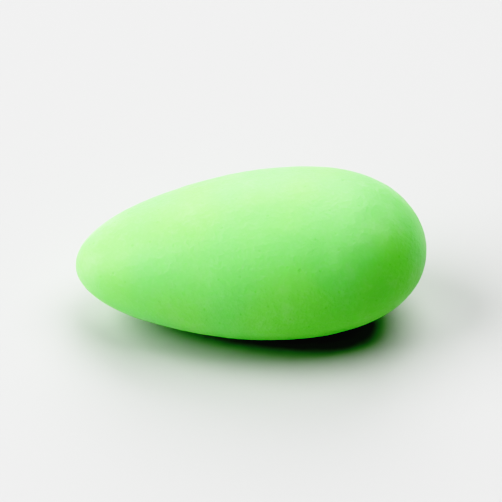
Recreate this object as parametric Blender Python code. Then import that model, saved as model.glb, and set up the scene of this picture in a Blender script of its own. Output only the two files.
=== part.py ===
"""Sugared almond: a plump almond under one smooth shell of green sugar.

Metres, +Z up.  +X runs along the almond, from its narrow tip to its blunt end.  The
almond lies on its flatter face, on a small flat spot under its centre of mass.  The
origin is under the middle of its bounding box, at the height that it rests on.
"""
import math

import bmesh
import bpy
from mathutils import Matrix, Vector

# Driving dimensions of the almond before it is leant and settled
LENGTH = 0.0300
WIDTH = 0.0165
THICKNESS = 0.0130

# Egg form: how much fuller the blunt end is than the tip, and both ends than the middle
TAPER = 0.210
END_FULLNESS = 0.077
# 2 is a plain ellipse across the almond, more is squarer
CROSS_SQUARENESS = 2.10
# The upper face is domed by this share of the half thickness, and the lower one flatter
UPPER_DOME = 0.05
# The middle stands off the straight line between the two ends, sideways and upwards
SIDE_BOW = 0.00030
UP_BOW = -0.00020

# Soft swells and hollows that hand-panned sugar leaves, each one as: place along the
# length (-1 tip, 1 blunt end), turn about it (0 is +Y, 90 the top), spread and height
SWELLS = (
    (0.52, 118.0, 0.0062, 0.00016),
    (-0.42, 62.0, 0.0050, -0.00012),
    (-0.10, 205.0, 0.0058, 0.00014),
    (0.62, 318.0, 0.0050, -0.00016),
    (0.12, 14.0, 0.0036, -0.00030),
    (-0.58, 338.0, 0.0042, 0.00014),
    (0.30, 255.0, 0.0060, 0.00010),
)

# How it lies: the tip leans down by this angle, and the underside is pressed flat
TIP_DOWN = math.radians(3.2)
FLAT_DEPTH = 0.00020
FLAT_EDGE = 0.00006

# Cuts across each side of the cube that is rounded into the almond
CUTS = 23

# Sugar shell
SHELL_COLOUR = (0.32, 0.80, 0.22, 1.0)
SHELL_ROUGHNESS = 0.42
SHELL_METALLIC = 0.0


def clear_scene():
    """Remove every object of the scene."""
    for item in list(bpy.data.objects):
        bpy.data.objects.remove(item, do_unlink=True)


def fullness(along):
    """Share by which the egg form swells the almond at a place along its length."""
    return 1.0 + TAPER * along + END_FULLNESS * along ** 2


def greatest_girth(steps=400):
    """Largest girth of the unscaled egg form, which WIDTH and THICKNESS stand for."""
    places = [2.0 * step / steps - 1.0 for step in range(steps + 1)]
    return max(math.sqrt(1.0 - along ** 2) * fullness(along) for along in places)


def squareness(turn):
    """Reach of the cross-section's superellipse at a turn about the length."""
    power = CROSS_SQUARENESS
    return (abs(math.cos(turn)) ** power + abs(math.sin(turn)) ** power) ** (-1.0 / power)


def egg_point(direction, girth):
    """Point of the smooth almond body that a direction of the unit ball stands for."""
    along, across, up = direction
    radius = math.hypot(across, up)
    turn = math.atan2(up, across)
    reach = radius * squareness(turn) * fullness(along) / girth
    side = reach * math.cos(turn)
    rise = reach * math.sin(turn)
    middle = 1.0 - along ** 2
    return Vector((
        along * LENGTH / 2.0,
        side * WIDTH / 2.0 + SIDE_BOW * middle,
        rise * (1.0 + UPPER_DOME * rise) * THICKNESS / 2.0 + UP_BOW * middle,
    ))


def ball_direction(along, turn):
    """Direction of the unit ball at a place along the length and a turn about it."""
    radius = math.sqrt(1.0 - along ** 2)
    return Vector((along, radius * math.cos(turn), radius * math.sin(turn)))


def outward(direction):
    """Unit normal of the plain ellipsoid, along which a swell stands out."""
    along, across, up = direction
    return Vector((along / LENGTH, across / WIDTH, up / THICKNESS)).normalized()


def swollen(point, direction, centres):
    """Point of the body after every soft swell and hollow has moved it."""
    height = 0.0
    for centre, spread, top in centres:
        height += top * math.exp(-((point - centre).length / spread) ** 2)
    return point + outward(direction) * height


def pressed(height):
    """Height above the rest after the underside is flattened, with a soft edge."""
    if height <= -FLAT_EDGE:
        return 0.0
    if height >= FLAT_EDGE:
        return height
    return (height + FLAT_EDGE) ** 2 / (4.0 * FLAT_EDGE)


def unit_ball(cuts):
    """Closed ball of evenly spread faces, rounded from a gridded cube."""
    ball = bmesh.new()
    bmesh.ops.create_cube(ball, size=2.0)
    bmesh.ops.subdivide_edges(ball, edges=ball.edges[:], cuts=cuts, use_grid_fill=True)
    for vert in ball.verts:
        spread = [math.tan(value * math.pi / 4.0) for value in vert.co]
        vert.co = Vector(spread).normalized()
    return ball


def shape_almond(body):
    """Turn the unit ball into the leaning almond with its swells and hollows."""
    girth = greatest_girth()
    centres = []
    for along, degrees, spread, top in SWELLS:
        place = egg_point(ball_direction(along, math.radians(degrees)), girth)
        centres.append((place, spread, top))
    for vert in body.verts:
        direction = vert.co.copy()
        vert.co = swollen(egg_point(direction, girth), direction, centres)
    lean = Matrix.Rotation(-TIP_DOWN, 3, "Y")
    bmesh.ops.rotate(body, cent=(0.0, 0.0, 0.0), matrix=lean, verts=body.verts[:])


def settle(body):
    """Stand the almond on its flat spot, centred over the origin."""
    ends = [min(vert.co.x for vert in body.verts), max(vert.co.x for vert in body.verts)]
    sides = [min(vert.co.y for vert in body.verts), max(vert.co.y for vert in body.verts)]
    lowest = min(vert.co.z for vert in body.verts)
    for vert in body.verts:
        vert.co.x -= sum(ends) / 2.0
        vert.co.y -= sum(sides) / 2.0
        vert.co.z = pressed(vert.co.z - lowest - FLAT_DEPTH)


def sugar_shell():
    """Material of the green sugar shell."""
    shell = bpy.data.materials.new("sugar_shell")
    shell.use_nodes = True
    surface = shell.node_tree.nodes["Principled BSDF"]
    surface.inputs["Base Color"].default_value = SHELL_COLOUR
    surface.inputs["Roughness"].default_value = SHELL_ROUGHNESS
    surface.inputs["Metallic"].default_value = SHELL_METALLIC
    return shell


def sugared_almond():
    """The almond as one closed, smooth-shaded solid."""
    body = unit_ball(CUTS)
    shape_almond(body)
    settle(body)
    bmesh.ops.recalc_face_normals(body, faces=body.faces[:])
    mesh = bpy.data.meshes.new("sugared_almond")
    body.to_mesh(mesh)
    body.free()
    mesh.shade_smooth()
    mesh.materials.append(sugar_shell())
    almond = bpy.data.objects.new("sugared_almond", mesh)
    bpy.context.collection.objects.link(almond)
    return almond


clear_scene()
sugared_almond()
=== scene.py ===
"""Looks of the sugared almond: a satin green sugar shell under broad, soft studio light."""
import math

import bpy
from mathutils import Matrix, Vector


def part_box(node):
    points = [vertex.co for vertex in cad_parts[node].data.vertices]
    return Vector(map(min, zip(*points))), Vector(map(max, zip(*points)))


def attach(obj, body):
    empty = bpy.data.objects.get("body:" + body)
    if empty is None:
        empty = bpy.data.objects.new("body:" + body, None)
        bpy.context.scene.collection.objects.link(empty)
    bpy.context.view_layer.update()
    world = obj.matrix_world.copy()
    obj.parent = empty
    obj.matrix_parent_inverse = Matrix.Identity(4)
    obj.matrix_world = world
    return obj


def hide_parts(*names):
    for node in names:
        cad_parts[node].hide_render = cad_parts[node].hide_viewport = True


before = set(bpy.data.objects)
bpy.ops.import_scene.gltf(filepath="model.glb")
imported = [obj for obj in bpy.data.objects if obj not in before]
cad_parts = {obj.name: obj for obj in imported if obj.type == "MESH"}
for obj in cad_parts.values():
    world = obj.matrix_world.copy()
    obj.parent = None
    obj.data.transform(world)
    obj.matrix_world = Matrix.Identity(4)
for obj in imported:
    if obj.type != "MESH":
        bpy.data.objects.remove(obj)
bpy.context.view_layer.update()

MM = 0.001
LOW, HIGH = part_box("sugared_almond")
MIDDLE = (LOW + HIGH) / 2.0
LENGTH = HIGH.x - LOW.x

# Camera: the photograph looks down on the almond's front, with its tip to the left
FRONT = -math.pi / 2.0
VIEW_AZIMUTH = math.radians(-1.4)
VIEW_ELEVATION = math.radians(38.0)
VIEW_DISTANCE = 370 * MM
SENSOR_WIDTH = 36.0
# Share of the picture's width that the almond takes up
ALMOND_SHARE = 0.70

# Softboxes: azimuth (0 is +X, 90 is +Y) and elevation in degrees, metres across, and watts
SOFTBOX_DISTANCE = 1.50
SOFTBOXES = {
    "left": (180.0, 37.0, 1.4, 23.4),
    "back": (90.0, 35.0, 1.4, 16.5),
    "high_right": (20.0, 70.0, 1.4, 16.0),
    "low_left": (210.0, 14.0, 1.4, 7.0),
}

# The picture's contrast, a smooth rise from black to white: the light at which it starts,
# how softly it starts, how steeply it rises, and the light at which it ends
BLACK_LIGHT = 0.16
SOFT_START = 0.02
STEEPNESS = 1.3
WHITE_LIGHT = 2.0
CONTRAST_STEPS = 40
# Place of the curve that acts on all three colours, after those of red, green and blue
ALL_COLOURS = 3

FLOOR_SIZE = 6.0
FLOOR_SURFACE = {
    "Base Color": (0.65, 0.65, 0.65, 1.0),
    "Roughness": 0.7,
    "Specular IOR Level": 0.2,
}
BACKDROP_WHITE = (1.2, 1.2, 1.2, 1.0)

# Sugar shell: its two main greens, the deep green of its pits, and its chalky green, which also serves as
# painted light on the tip
GREEN = (0.338, 0.805, 0.287, 1.0)
WARM_GREEN = (0.352, 0.815, 0.267, 1.0)
DEEP_GREEN = (0.235, 0.720, 0.150, 1.0)
CHALK_AND_PAINTED_LIGHT_GREEN = (0.560, 0.915, 0.500, 1.0)

# Its marks: the size of each, and the values between which it fades in
CLOUD_SIZE = 7.0 * MM
CLOUD_DETAIL = 1.0
CLOUD_FADE = (0.36, 0.64)
RUB_SIZE = 3.2 * MM
RUB_DETAIL = 4.0
RUB_BREAK_UP = 0.62
RUB_FADE = (0.50, 0.72)
# The tip's pale patch is partly rubbed wear and partly painted light
TIP_PLACE = (-11.6 * MM, -14.9 * MM)
TIP_FADE = (0.30, 0.60)
GRAIN_SIZE = 0.34 * MM
GRAIN_DETAIL = 3.0
GRAIN_FADE = (0.45, 0.75)
SPECK_SPACING = 1.1 * MM
SPECK_EDGE = (0.06, 0.15)
PIT_SPACING = 2.1 * MM
PIT_EDGE = (0.03, 0.09)

# How far the rubbed patches, the tip and the grain turn the green chalky; the tip's paleness is partly
# rubbed wear and partly painted light
RUB_CHALK = 0.14
TIP_CHALK_AND_PAINTED_LIGHT = 0.16
GRAIN_CHALK = 0.08
# How far the pits and the specks turn it deep
PIT_DEEPENING = 0.18
SPECK_DEEPENING = 0.14
# Roughness of bare satin sugar, and what the rubbed patches and the grain add to it
SATIN = 0.42
RUB_ROUGHENING = 0.08
GRAIN_ROUGHENING = 0.08
# Heights in the bump, in millimetres
GRAIN_HEIGHT = 0.042
SPECK_DIP = 0.013
PIT_DIP = 0.030

# What is the same all over the sugar; light wanders 0.9 mm deep in it
SUGAR_SURFACE = {
    "IOR": 1.48,
    "Specular IOR Level": 0.32,
    "Subsurface Weight": 0.50,
    "Subsurface Radius": (0.45, 1.0, 0.35),
    "Subsurface Scale": 0.9 * MM,
    "Sheen Weight": 0.10,
    "Sheen Roughness": 0.35,
    "Sheen Tint": (0.80, 1.0, 0.75, 1.0),
}

# Relief of the shell's surface: size and height of each layer
RELIEF = {
    "soft_lumps": (4.2 * MM, 0.075 * MM),
    "orange_peel": (1.2 * MM, 0.045 * MM),
}
RELIEF_DETAIL = 1
# Height over which the relief fades in above the flat spot
REST_FADE = 1.5 * MM
SMOOTHING_LEVELS = 2
MERGE_DISTANCE = 0.001 * MM

# Sockets of the Mix node that blends colours: share, first and second colour, and result
MIX_INPUTS = (0, 6, 7)
MIX_RESULT = 2


class Socket:
    """Output of a shader node; arithmetic on it adds the Math nodes that it needs."""

    def __init__(self, tree, output=None):
        self.tree = tree
        self.output = output

    def node(self, kind, settings=None, sockets=None, out=0):
        """Add a node of a kind, set it up, feed its sockets, and give one output."""
        node = self.tree.nodes.new(kind)
        for name, value in (settings or {}).items():
            setattr(node, name, value)
        for name, value in (sockets or {}).items():
            if isinstance(value, Socket):
                self.tree.links.new(value.output, node.inputs[name])
            else:
                node.inputs[name].default_value = value
        return Socket(self.tree, node.outputs[out])

    def maths(self, operation, *values):
        """Math node on these values."""
        return self.node("ShaderNodeMath", {"operation": operation}, dict(enumerate(values)))

    def __add__(self, other):
        return self.maths("ADD", self, other)

    def __radd__(self, other):
        return self.maths("ADD", other, self)

    def __sub__(self, other):
        return self.maths("SUBTRACT", self, other)

    def __rsub__(self, other):
        return self.maths("SUBTRACT", other, self)

    def __mul__(self, other):
        return self.maths("MULTIPLY", self, other)

    def __rmul__(self, other):
        return self.maths("MULTIPLY", other, self)

    def step(self, low, high):
        """Smooth step of this value, from 0 at low to 1 at high."""
        return self.node("ShaderNodeMapRange", {"interpolation_type": "SMOOTHSTEP"},
                         {"Value": self, "From Min": low, "From Max": high})

    def noise(self, size, detail, roughness=0.5):
        """Noise of a size, read at this place."""
        return self.node("ShaderNodeTexNoise", None,
                         {"Vector": self, "Scale": 1.0 / size, "Detail": detail, "Roughness": roughness})

    def spots(self, spacing, edge):
        """Scattered round spots, 1 inside and 0 outside, that fade out across their edge."""
        away = self.node("ShaderNodeTexVoronoi", None, {"Vector": self, "Scale": 1.0 / spacing}, "Distance")
        return 1.0 - away.step(*edge)

    def blend(self, first, second):
        """Mix of two colours, with this value as the second one's share."""
        colours = dict(zip(MIX_INPUTS, (self, first, second)))
        return self.node("ShaderNodeMix", {"data_type": "RGBA"}, colours, MIX_RESULT)

    def feed(self, surface, name):
        """Lead this output to a socket of the surface."""
        self.tree.links.new(self.output, surface.inputs[name])


def new_material(name, settings):
    """Node material whose Principled surface has these settings."""
    material = bpy.data.materials.new(name)
    material.use_nodes = True
    surface = material.node_tree.nodes["Principled BSDF"]
    for socket, value in settings.items():
        surface.inputs[socket].default_value = value
    return material, surface


def green_sugar():
    """Satin panned sugar: cloudy green, chalky where it is rubbed, paler at the tip from wear and painted
    light, with grain and pits.
    """
    material, surface = new_material("green_sugar", SUGAR_SURFACE)
    start = Socket(material.node_tree)
    place = start.node("ShaderNodeTexCoord", out="Object")
    along = start.node("ShaderNodeSeparateXYZ", None, {"Vector": place}, "X")
    clouds = place.noise(CLOUD_SIZE, CLOUD_DETAIL).step(*CLOUD_FADE)
    patches = place.noise(RUB_SIZE, RUB_DETAIL, RUB_BREAK_UP)
    rubs = patches.step(*RUB_FADE)
    # Paler tip: partly rubbed wear, partly painted light
    tip = along.step(*TIP_PLACE) * patches.step(*TIP_FADE)
    grain = place.noise(GRAIN_SIZE, GRAIN_DETAIL)
    specks = place.spots(SPECK_SPACING, SPECK_EDGE)
    pits = place.spots(PIT_SPACING, PIT_EDGE)

    # The chalky share holds the tip's painted light as well as the rubbed patches and the grain
    chalk_and_painted_light = rubs * RUB_CHALK + tip * TIP_CHALK_AND_PAINTED_LIGHT + grain.step(*GRAIN_FADE) * GRAIN_CHALK
    depth = pits * PIT_DEEPENING + specks * SPECK_DEEPENING
    green = depth.blend(chalk_and_painted_light.blend(clouds.blend(GREEN, WARM_GREEN), CHALK_AND_PAINTED_LIGHT_GREEN), DEEP_GREEN)
    green.feed(surface, "Base Color")
    (SATIN + rubs * RUB_ROUGHENING + grain * GRAIN_ROUGHENING).feed(surface, "Roughness")
    height = grain * GRAIN_HEIGHT - specks * SPECK_DIP - pits * PIT_DIP
    bump = start.node("ShaderNodeBump", None, {"Strength": 1.0, "Distance": MM, "Height": height})
    bump.feed(surface, "Normal")
    return material


def apply_modifier(piece, kind, **settings):
    """Add a modifier to the piece, set it up and apply it."""
    modifier = piece.modifiers.new(kind.lower(), kind)
    for name, value in settings.items():
        setattr(modifier, name, value)
    bpy.ops.object.modifier_apply(modifier=modifier.name)


def group_above_rest(piece):
    """Vertex group whose weight fades out smoothly down to the flat spot that the almond rests on."""
    group = piece.vertex_groups.new(name="above_rest")
    for vertex in piece.data.vertices:
        share = min(vertex.co.z / REST_FADE, 1.0)
        group.add([vertex.index], share * share * (3.0 - 2.0 * share), "REPLACE")
    return group.name


def sugar_shell():
    """The almond's fine surface, made from a merged copy of its CAD solid."""
    bpy.ops.object.select_all(action="DESELECT")
    shell = bpy.data.objects.new("sugar_shell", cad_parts["sugared_almond"].data.copy())
    bpy.context.collection.objects.link(shell)
    shell.select_set(True)
    bpy.context.view_layer.objects.active = shell
    bpy.ops.object.mode_set(mode="EDIT")
    bpy.ops.mesh.select_mode(type="VERT")
    bpy.ops.mesh.select_all(action="SELECT")
    bpy.ops.mesh.remove_doubles(threshold=MERGE_DISTANCE)
    bpy.ops.mesh.tris_convert_to_quads()
    bpy.ops.mesh.normals_make_consistent(inside=False)
    bpy.ops.mesh.select_all(action="DESELECT")
    bpy.ops.object.mode_set(mode="OBJECT")
    apply_modifier(shell, "SUBSURF", levels=SMOOTHING_LEVELS, render_levels=SMOOTHING_LEVELS)
    above_rest = group_above_rest(shell)
    for name, (size, height) in RELIEF.items():
        texture = bpy.data.textures.new(name, "CLOUDS")
        texture.noise_scale = size
        texture.noise_depth = RELIEF_DETAIL
        apply_modifier(shell, "DISPLACE", texture=texture, texture_coords="LOCAL",
                       vertex_group=above_rest, mid_level=0.5, strength=height)
    shell.vertex_groups.clear()
    bpy.ops.object.shade_smooth()
    shell.data.materials.clear()
    shell.data.materials.append(green_sugar())
    return shell


def floor():
    """Wide pale floor that the almond lies on."""
    bpy.ops.object.select_all(action="DESELECT")
    bpy.ops.mesh.primitive_plane_add(size=FLOOR_SIZE)
    ground = bpy.context.active_object
    ground.name = "floor"
    material, _ = new_material("pale_floor", FLOOR_SURFACE)
    ground.data.materials.append(material)


def direction(azimuth, elevation):
    """Unit vector from the almond, by azimuth from +X and elevation, in radians."""
    level = math.cos(elevation)
    return Vector((math.cos(azimuth) * level, math.sin(azimuth) * level, math.sin(elevation)))


def aimed(name, data, away, distance):
    """Object with a lamp's or camera's data, a distance away and aimed at the almond."""
    item = bpy.data.objects.new(name, data)
    bpy.context.collection.objects.link(item)
    item.location = MIDDLE + away * distance
    item.rotation_euler = away.to_track_quat("Z", "Y").to_euler()
    return item


def softboxes():
    """Round softboxes on the left, behind and high on the right, and a low one before the tip."""
    for name, (azimuth, elevation, across, watts) in SOFTBOXES.items():
        lamp = bpy.data.lights.new(name, "AREA")
        lamp.shape = "DISK"
        lamp.size = across
        lamp.energy = watts
        aimed(name, lamp, direction(math.radians(azimuth), math.radians(elevation)), SOFTBOX_DISTANCE)


def backdrop():
    """Pale surroundings past the floor's edge, which give the almond no light of their own."""
    world = bpy.data.worlds.new("surroundings")
    world.use_nodes = True
    world.node_tree.nodes["Background"].inputs["Color"].default_value = BACKDROP_WHITE
    world.cycles_visibility.diffuse = False
    world.cycles_visibility.glossy = False
    bpy.context.scene.world = world


def camera():
    """Long lens at the photograph's viewing angle."""
    lens = bpy.data.cameras.new("camera")
    lens.sensor_width = SENSOR_WIDTH
    lens.lens = SENSOR_WIDTH * VIEW_DISTANCE * ALMOND_SHARE / LENGTH
    away = direction(FRONT + VIEW_AZIMUTH, VIEW_ELEVATION)
    bpy.context.scene.camera = aimed("camera", lens, away, VIEW_DISTANCE)


def brightness(light):
    """How bright the picture shows a light: black at first, then a rise that levels off at white."""
    past_black = light - BLACK_LIGHT
    above_black = (past_black + math.hypot(past_black, SOFT_START)) / 2.0
    return math.erf(STEEPNESS * above_black)


def picture_contrast():
    """Strong contrast like the photograph's, which leaves greys neutral."""
    view = bpy.context.scene.view_settings
    view.view_transform = "Standard"
    view.use_curve_mapping = True
    mapping = view.curve_mapping
    mapping.use_clip = False
    mapping.clip_max_x = WHITE_LIGHT
    curve = mapping.curves[ALL_COLOURS]
    curve.points[0].location = (0.0, brightness(0.0))
    curve.points[-1].location = (WHITE_LIGHT, brightness(WHITE_LIGHT))
    for step in range(1, CONTRAST_STEPS):
        light = WHITE_LIGHT * step / CONTRAST_STEPS
        curve.points.new(light, brightness(light))
    mapping.update()


shell = sugar_shell()
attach(shell, "root")
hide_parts("sugared_almond")
floor()
softboxes()
backdrop()
camera()
picture_contrast()
